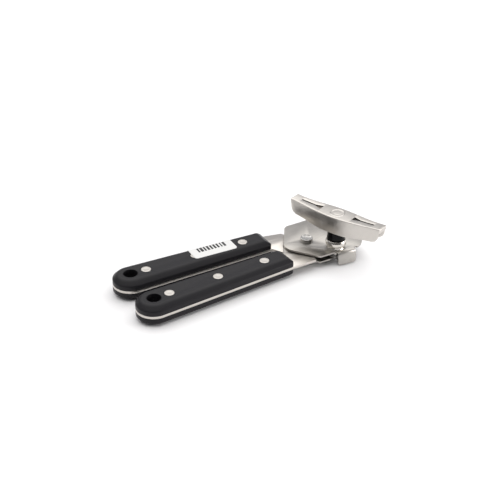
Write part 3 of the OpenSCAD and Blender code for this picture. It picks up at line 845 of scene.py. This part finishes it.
def rivet_blank():
    """One handle rivet: two dished flush heads on a shank, in millimetres about its own axis."""
    rim_r = RIVET_HEAD_R - RIVET_HEAD_GAP
    head = [(0, -RIVET_DISH, 0), (1.3, -0.08, 0.6), (2.1, 0.0, 0.6), (rim_r, 0.0, 0.28),
            (rim_r, -RIVET_HEAD_H, 0), (RIVET_SHANK_R, -RIVET_HEAD_H, 0)]
    top = [(r, HANDLE_T + z, f) for r, z, f in head]
    bottom = [(r, -z, f) for r, z, f in reversed(head)]
    return lathe("rivet_blank", top + bottom, Matrix.Identity(4), segments=64)


def fit_handle(lever, side):
    """A handle's two black scales and the steel tang between them."""
    for level in ("top", "bottom"):
        node = f"{lever}_scale_{level}"
        fit_out(handle_moulding(f"{node}_moulding", side, level == "top"),
                f"{lever}_lever", [node], handle_black)
    fit_out(softened(f"{lever}_tang", f"{lever}_tang_blank", TANG_EDGE, segments=2),
            f"{lever}_lever", [f"{lever}_tang"], tang_steel)


def fit_handle_rivets():
    """One row of rivets to a handle, all copies of one blank."""
    blank = rivet_blank()
    rows = row_tree()
    for lever, side in LEVERS:
        row = grown(f"{lever}_rivets", rows,
                    {"Blank": blank, "Count": RIVET_COUNT, "Pitch": RIVET_PITCH * MM, "Finish": rivet_steel},
                    handle_frame(side))
        fit_out(row, f"{lever}_lever", [f"{lever}_rivet_{p}" for p in ("butt", "mid", "head")],
                rivet_steel)
    bpy.data.objects.remove(blank)


# ---------------------------------------------------------------- head

def fit_plates():
    """The two head plates, with their sheared edges eased."""
    for node in ("head_plate_top", "head_plate_bottom"):
        fit_out(softened(node, f"{node}_pressing", PLATE_EDGE, angle=50),
                "drive_lever", [node], plate_steel)


def fit_pivot_rivet():
    """The rivet that the levers turn on, with a shallow dish in its upper head."""
    top = HEAD_TOP + PIVOT_HEAD_H
    profile = [(0, PIVOT_FOOT, 0), (PIVOT_HEAD_R - 0.2, PIVOT_FOOT, 0.4),
               (PIVOT_HEAD_R - 0.1, PIVOT_TAIL_TOP, 0), (PIVOT_SHANK_R, PIVOT_TAIL_TOP, 0),
               (PIVOT_SHANK_R, HEAD_TOP, 0), (PIVOT_HEAD_R - 0.05, HEAD_TOP, 0.1),
               (PIVOT_HEAD_R, top, 0.35), (PIVOT_HEAD_R - 0.9, top - 0.02, 0.5),
               (PIVOT_HEAD_R - 1.5, top - 0.35, 0.8), (0, top - 0.42, 0)]
    fit_out(lathe("pivot_rivet_turned", profile, axis_place("pivot_rivet")),
            "drive_lever", ["pivot_rivet"], pivot_polish)


def fit_bush():
    """The bush that the key's shaft turns in: a waisted body under a rounded flange."""
    mouth = BUSH_TOP - BUSH_DISH
    profile = [(BUSH_BORE_R, BUSH_FOOT, 0), (BUSH_SPIGOT_R, BUSH_FOOT, 0.1), (BUSH_SPIGOT_R, HEAD_TOP, 0),
               (BUSH_BASE_R, HEAD_TOP, 0.3), (BUSH_WAIST_R, HEAD_TOP + 0.8, 1.0),
               (BUSH_NECK_R, BUSH_TOP - 4.8, 1.0), (BUSH_FLANGE_R, BUSH_TOP - 4.0, 0.9),
               (BUSH_FLANGE_R, BUSH_TOP - 1.7, 0.9), (BUSH_LIP_R, BUSH_TOP, 0.3),
               (BUSH_MOUTH_R, mouth, 0.1), (BUSH_BORE_R, mouth, 0.0), (BUSH_BORE_R, BUSH_FOOT, 0)]
    fit_out(lathe("shaft_bush_turned", profile, axis_place("shaft_bush")),
            "drive_lever", ["shaft_bush"], bush_polish)


# ---------------------------------------------------------------- key assembly

key_place = axis_place("drive_shaft", KEY_ANGLE)


def key_half_width(s):
    """Half the key's width, this far from its middle."""
    return KEY_TIP_HALF + (KEY_MID_HALF - KEY_TIP_HALF) * (math.cos(math.pi * abs(s) / KEY_HALF) + 1) / 2


def key_top(s):
    """The height of the key's top, which is flat in the middle and rises to the tips."""
    past_flat = (abs(s) / KEY_HALF - KEY_FLAT_SHARE) / (1 - KEY_FLAT_SHARE)
    return KEY_TOP + KEY_TIP_RISE * max(0.0, past_flat) ** 2


def skirt_line():
    """The skirt's lower edge from the middle to a tip, as (distance along, height) points."""
    lip = KEY_TOP + KEY_TIP_RISE - KEY_LIP
    return filleted([(0, SKIRT_FOOT, 0), (SKIRT_LEVEL, SKIRT_FOOT, SKIRT_TURN_R),
                     (KEY_HALF - SKIRT_END_BACK, SKIRT_FOOT + SKIRT_END_RISE, SKIRT_END_R),
                     (KEY_HALF - KEY_LIP_BACK, lip - KEY_LIP_DROP, 0), (KEY_HALF, lip, 0)], steps=10)


def skirt_height(line, s):
    """The height of the skirt's lower edge, this far from the key's middle."""
    x = abs(s)
    for a, b in zip(line, line[1:]):
        if a.x <= x <= b.x:
            return a.y + (b.y - a.y) * (x - a.x) / max(b.x - a.x, 1e-9)
    return line[-1].y


def key_columns(line):
    """Where the key's skin is divided along its length: at even steps and at the skirt line's own points."""
    even = {round(i * COLUMN_STEP, 4) for i in range(int(KEY_HALF / COLUMN_STEP))}
    found = sorted({round(p.x, 4) for p in line} | even)
    places = [x for i, x in enumerate(found) if i == 0 or x - found[i - 1] > COLUMN_LEAST]
    if places[-1] != KEY_HALF:
        places.append(KEY_HALF)
    return [-x for x in reversed(places[1:])] + places


def key_shell():
    """The key's outer skin: a lid with a deep skirt, open below, drawn along its own X."""
    line = skirt_line()
    bm = bmesh.new()
    rails = []
    for s in key_columns(line):
        w, top, low = key_half_width(s), key_top(s), skirt_height(line, s)
        rails.append([bm.verts.new(p) for p in ((s, -w, low), (s, -w, top), (s, w, top), (s, w, low))])
    for a, b in zip(rails, rails[1:]):
        for k in range(3):
            bm.faces.new((a[k], b[k], b[k + 1], a[k + 1]))
    bm.faces.new(rails[0])
    bm.faces.new(rails[-1][::-1])
    return bm


def slot_cutter(sign):
    """The tool that pierces one slot: a long slit with a three-cornered head."""
    neck = SLOT_START + SLOT_HEAD_LEN
    outline = [(SLOT_START, -SLOT_HEAD_W / 2), (neck, -SLOT_W / 2), (SLOT_END, -SLOT_W / 2),
               (SLOT_END, SLOT_W / 2), (neck, SLOT_W / 2), (SLOT_START, SLOT_HEAD_W / 2)]
    bm = prism(outline, KEY_TOP - SLOT_TOOL_BELOW, KEY_TOP + SLOT_TOOL_ABOVE, sign)
    # The cut sides take the key's second material, the painted slot shade
    for face in bm.faces:
        face.material_index = 1
    return mesh_object(f"slot_{'a' if sign > 0 else 'b'}", bm, key_place)


def pressed_key():
    """The key: its skin creased, given a wall and pierced by two slots whose sides carry painted shade."""
    key = mesh_object("pressed_key", key_shell(), key_place)
    crease = rounding(key, KEY_CREASE_R, segments=9, angle=50)
    crease.miter_outer = "MITER_ARC"
    wall = key.modifiers.new("wall", "SOLIDIFY")
    wall.thickness = KEY_WALL * MM
    wall.offset = -1
    wall.use_even_offset = True
    for material in (key_steel, sheared_steel):
        key.data.materials.append(material)
    return pierced(key, [slot_cutter(1), slot_cutter(-1)], SLOT_RIM, rim_angle=55)


def fit_collar():
    """The black collar between the bush and the key."""
    foot = BUSH_TOP + COLLAR_GAP
    top = KEY_TOP - KEY_WALL
    profile = [(COLLAR_BORE_R, foot, 0), (COLLAR_FOOT_R, foot, 0.5), (COLLAR_SWELL_R, BUSH_TOP + 1.1, 1.0),
               (COLLAR_WAIST_R, BUSH_TOP + 6.0, 6.0), (COLLAR_R, SKIRT_FOOT, 2.0), (COLLAR_R, top - 0.4, 0.4),
               (COLLAR_R - 0.4, top, 0.1), (COLLAR_BORE_R, top, 0), (COLLAR_BORE_R, foot, 0)]
    fit_out(lathe("key_collar_moulded", profile, key_place),
            "key_assembly", ["key_collar"], nylon_black)


def fit_key():
    """The pressed butterfly key."""
    fit_out(pressed_key(), "key_assembly", ["turning_key"], key_steel)


def fit_boss():
    """The low boss at the key's centre: a shallow ring round a flat dish."""
    above_key = [(0, -0.05, 0), (BOSS_R, -0.05, 0), (BOSS_R - 0.05, 0.01, 0), (5.1, 0.27, 0.7),
                 (4.4, 0.08, 0.8), (3.2, 0.08, 1.2), (2.2, 0.16, 2.0), (0, 0.17, 0)]
    profile = [(r, KEY_TOP + h, f) for r, h, f in above_key]
    fit_out(lathe("key_boss_pressed", profile, key_place),
            "key_assembly", ["key_boss"], key_steel)


def fit_drive():
    """The key's shaft and the toothed wheel at its foot."""
    fit_out(softened("drive_shaft", "drive_shaft_turned", SHAFT_EDGE),
            "key_assembly", ["drive_shaft"], shaft_polish)
    fit_out(softened("feed_wheel", "feed_wheel_cut", FEED_WHEEL_EDGE, segments=2),
            "key_assembly", ["feed_wheel"], wheel_steel)


# ---------------------------------------------------------------- cutting wheel

def fit_cutting_wheel():
    """The cutting disc, ground to an edge near its upper face."""
    above_foot = [(WHEEL_BORE_R, 0, 0.1), (4.4, 0, 0), (4.6, 0.15, 0), (6.6, 0.15, 0.5),
                  (WHEEL_R, 1.40, 0.03), (WHEEL_R - 0.02, 1.47, 0.03), (6.8, WHEEL_T, 0.3),
                  (WHEEL_BORE_R, WHEEL_T, 0.1), (WHEEL_BORE_R, 0, 0)]
    profile = [(r, WHEEL_FOOT + h, f) for r, h, f in above_foot]
    fit_out(lathe("cutting_wheel_ground", profile, axis_place("cutter_wheel")),
            "cutting_wheel", ["cutter_wheel"], cutter_polish)


def fit_stud_and_screw():
    """The stud that the cutting wheel turns on, and the screw that keeps it there."""
    fit_out(softened("cutter_stud", "cutter_stud_turned", STUD_EDGE),
            "cutter_lever", ["cutter_stud"], cutter_polish)
    fit_out(softened("cutter_screw", "cutter_screw_turned", SCREW_EDGE),
            "cutter_lever", ["cutter_screw"], cutter_polish)


# ---------------------------------------------------------------- label

def label_place():
    """The label's own frame: X along the handle top's outer edge, Y outwards, Z up from the top."""
    taper = handle_taper()
    side = Vector((-BUTT_REACH + BUTT_R * math.sin(taper), BUTT_R * math.cos(taper), HANDLE_T)) * MM
    return (handle_frame(1) @ Matrix.Translation(side) @ Matrix.Rotation(-taper, 4, "Z")
            @ Matrix.Translation(Vector((LABEL_BACK * MM - side.x, -SLOPE_W * MM, 0))))


def label_rows():
    """Distances across the label: through its round corners, on to the fold, and down the flap."""
    flap = math.hypot(SLOPE_W, SLOPE_H) - LABEL_FLAP_SHORT
    rows = [-LABEL_W + LABEL_CORNER_R * (1 - math.cos(math.radians(a))) for a in range(0, 91, 15)]
    rows += [-LABEL_W + LABEL_CORNER_R + (LABEL_W - LABEL_CORNER_R) * i / 8 for i in range(1, 9)]
    rows += [flap * i / 5 for i in range(1, 6)]
    return rows


def paper_label():
    """A thin sheet with round corners, lying on the flat top and folded down the slope."""
    fold = math.atan2(SLOPE_H, SLOPE_W)
    corner_end = -LABEL_W + LABEL_CORNER_R
    bm = bmesh.new()
    grid = []
    for y in label_rows():
        inset = 0.0
        if y < corner_end:
            inset = LABEL_CORNER_R - math.sqrt(max(0.0, LABEL_CORNER_R ** 2 - (corner_end - y) ** 2))
        row = []
        for i in range(LABEL_COLUMNS + 1):
            x = inset + (LABEL_LEN - 2 * inset) * i / LABEL_COLUMNS
            curl = math.exp(-((x - LABEL_LEN) / LABEL_CURL_LEN) ** 2 - ((y + LABEL_W) / LABEL_CURL_W) ** 2)
            lift = LABEL_LIFT + LABEL_CURL * curl
            if y <= 0:
                row.append(bm.verts.new((x, y, lift)))
            else:
                row.append(bm.verts.new((x, y * math.cos(fold), lift - y * math.sin(fold))))
        grid.append(row)
    for a, b in zip(grid, grid[1:]):
        for k in range(LABEL_COLUMNS):
            bm.faces.new((a[k], a[k + 1], b[k + 1], b[k]))
    label = mesh_object("paper_label", bm, label_place())
    sheet = label.modifiers.new("sheet", "SOLIDIFY")
    sheet.thickness = LABEL_SHEET_T * MM
    sheet.offset = 1
    return baked(label)


def fit_label():
    """The paper label and the bars printed on it, which code nothing."""
    fit_out(paper_label(), "drive_lever", ["price_label"], label_paper)
    bars = grown("label_bars", bars_tree(),
                 {"Count": 9, "Pitch": 2.65 * MM, "Height": 5.8 * MM, "Thinnest": 0.6 * MM,
                  "Widest": 2.2 * MM, "Seed": 5, "Ink": label_ink},
                 label_place() @ Matrix.Translation(Vector((*BARS_PLACE, LABEL_T)) * MM))
    fit_out(bars, "drive_lever", [], label_ink)


# ---------------------------------------------------------------- build

def finish_cad_meshes():
    """The finishes of the hidden pieces that keep their CAD mesh."""
    for node, material in (("head_spacer_top", plate_steel), ("head_spacer_bottom", plate_steel),
                           ("pivot_washer_top", bronze), ("pivot_washer_bottom", bronze),
                           ("thrust_washer", wheel_steel)):
        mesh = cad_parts[node].data
        mesh.materials.clear()
        mesh.materials.append(material)


for lever, side in LEVERS:
    fit_handle(lever, side)
fit_handle_rivets()
fit_plates()
fit_pivot_rivet()
fit_bush()
fit_collar()
fit_key()
fit_boss()
fit_drive()
fit_cutting_wheel()
fit_stud_and_screw()
fit_label()
finish_cad_meshes()


# ---------------------------------------------------------------- studio

scene = bpy.context.scene


def lay_floor():
    """A wide pale floor at table height."""
    bm = bmesh.new()
    bmesh.ops.create_grid(bm, x_segments=1, y_segments=1, size=FLOOR_HALF)
    floor = mesh_object("studio_floor", bm)
    floor.data.materials.append(floor_paint("studio_floor"))


def light_room():
    """A soft light from all round, strongest from one side and fading to none opposite."""
    world = bpy.data.worlds.new("studio")
    scene.world = world
    world.use_nodes = True
    tree = world.node_tree
    sky = tree.nodes["Background"]
    sky.inputs["Color"].default_value = (*ROOM_COLOUR, 1)
    look = tree.nodes.new("ShaderNodeTexCoord")
    toward_bright = add(tree, "ShaderNodeVectorMath", operation="DOT_PRODUCT")
    toward_bright.inputs[1].default_value = ROOM_BRIGHT_SIDE
    room = add(tree, "ShaderNodeMapRange", in_From_Min=-1.0, in_To_Min=0.0, in_To_Max=ROOM_STRENGTH)
    tree.links.new(look.outputs["Generated"], toward_bright.inputs[0])
    tree.links.new(toward_bright.outputs["Value"], room.inputs["Value"])
    tree.links.new(room.outputs[0], sky.inputs["Strength"])


def towards(azimuth, elevation):
    """The direction to a light or the camera; azimuth 0 is the -Y side, 90 the +X side."""
    a = math.radians(azimuth)
    e = math.radians(elevation)
    return Vector((math.sin(a) * math.cos(e), -math.cos(a) * math.cos(e), math.sin(e)))


def facing(away):
    """The turn of a light or camera that looks back along this direction."""
    return away.to_track_quat("Z", "Y").to_matrix().to_4x4()


def softbox(name, aim, azimuth, elevation, distance, size, power, colour):
    """A rectangular soft light aimed at a point."""
    away = towards(azimuth, elevation)
    data = bpy.data.lights.new(name, "AREA")
    data.shape = "RECTANGLE"
    data.size, data.size_y = size
    data.energy = power
    data.color = colour
    obj = bpy.data.objects.new(name, data)
    obj.matrix_world = Matrix.Translation(aim + away * distance) @ facing(away)
    scene.collection.objects.link(obj)


def ceiling(azimuth, elevation, width, strength, colour):
    """A broad even light from high up, this many degrees wide."""
    data = bpy.data.lights.new("ceiling", "SUN")
    data.angle = math.radians(width)
    data.energy = strength
    data.color = colour
    obj = bpy.data.objects.new("ceiling", data)
    obj.matrix_world = facing(towards(azimuth, elevation))
    scene.collection.objects.link(obj)


def set_camera():
    """The camera looks down from the front left."""
    back = towards(CAMERA_AZIMUTH, CAMERA_ELEVATION)
    camera = bpy.data.objects.new("camera", bpy.data.cameras.new("camera"))
    camera.data.lens = CAMERA_LENS
    camera.data.sensor_width = CAMERA_SENSOR
    camera.data.clip_start = 0.01
    camera.data.clip_end = 50
    camera.matrix_world = (Matrix.Translation(Vector(CAMERA_AIM) + back * CAMERA_DISTANCE) @ facing(back)
                           @ Matrix.Rotation(math.radians(CAMERA_ROLL), 4, "Z"))
    scene.collection.objects.link(camera)
    scene.camera = camera


lay_floor()
light_room()
scene.view_settings.view_transform = "Standard"
scene.view_settings.look = "None"
middle = (cad_box[0] + cad_box[1]) / 2
ceiling(azimuth=172, elevation=78, width=92, strength=2.4, colour=(1.0, 0.985, 0.96))
softbox("left_wall", middle, azimuth=262, elevation=28, distance=0.9, size=(0.7, 0.6),
        power=0.1, colour=(1.0, 0.99, 0.98))
softbox("right_wall", middle, azimuth=52, elevation=14, distance=0.9, size=(0.5, 0.35),
        power=4.0, colour=(1.0, 0.98, 0.96))
set_camera()
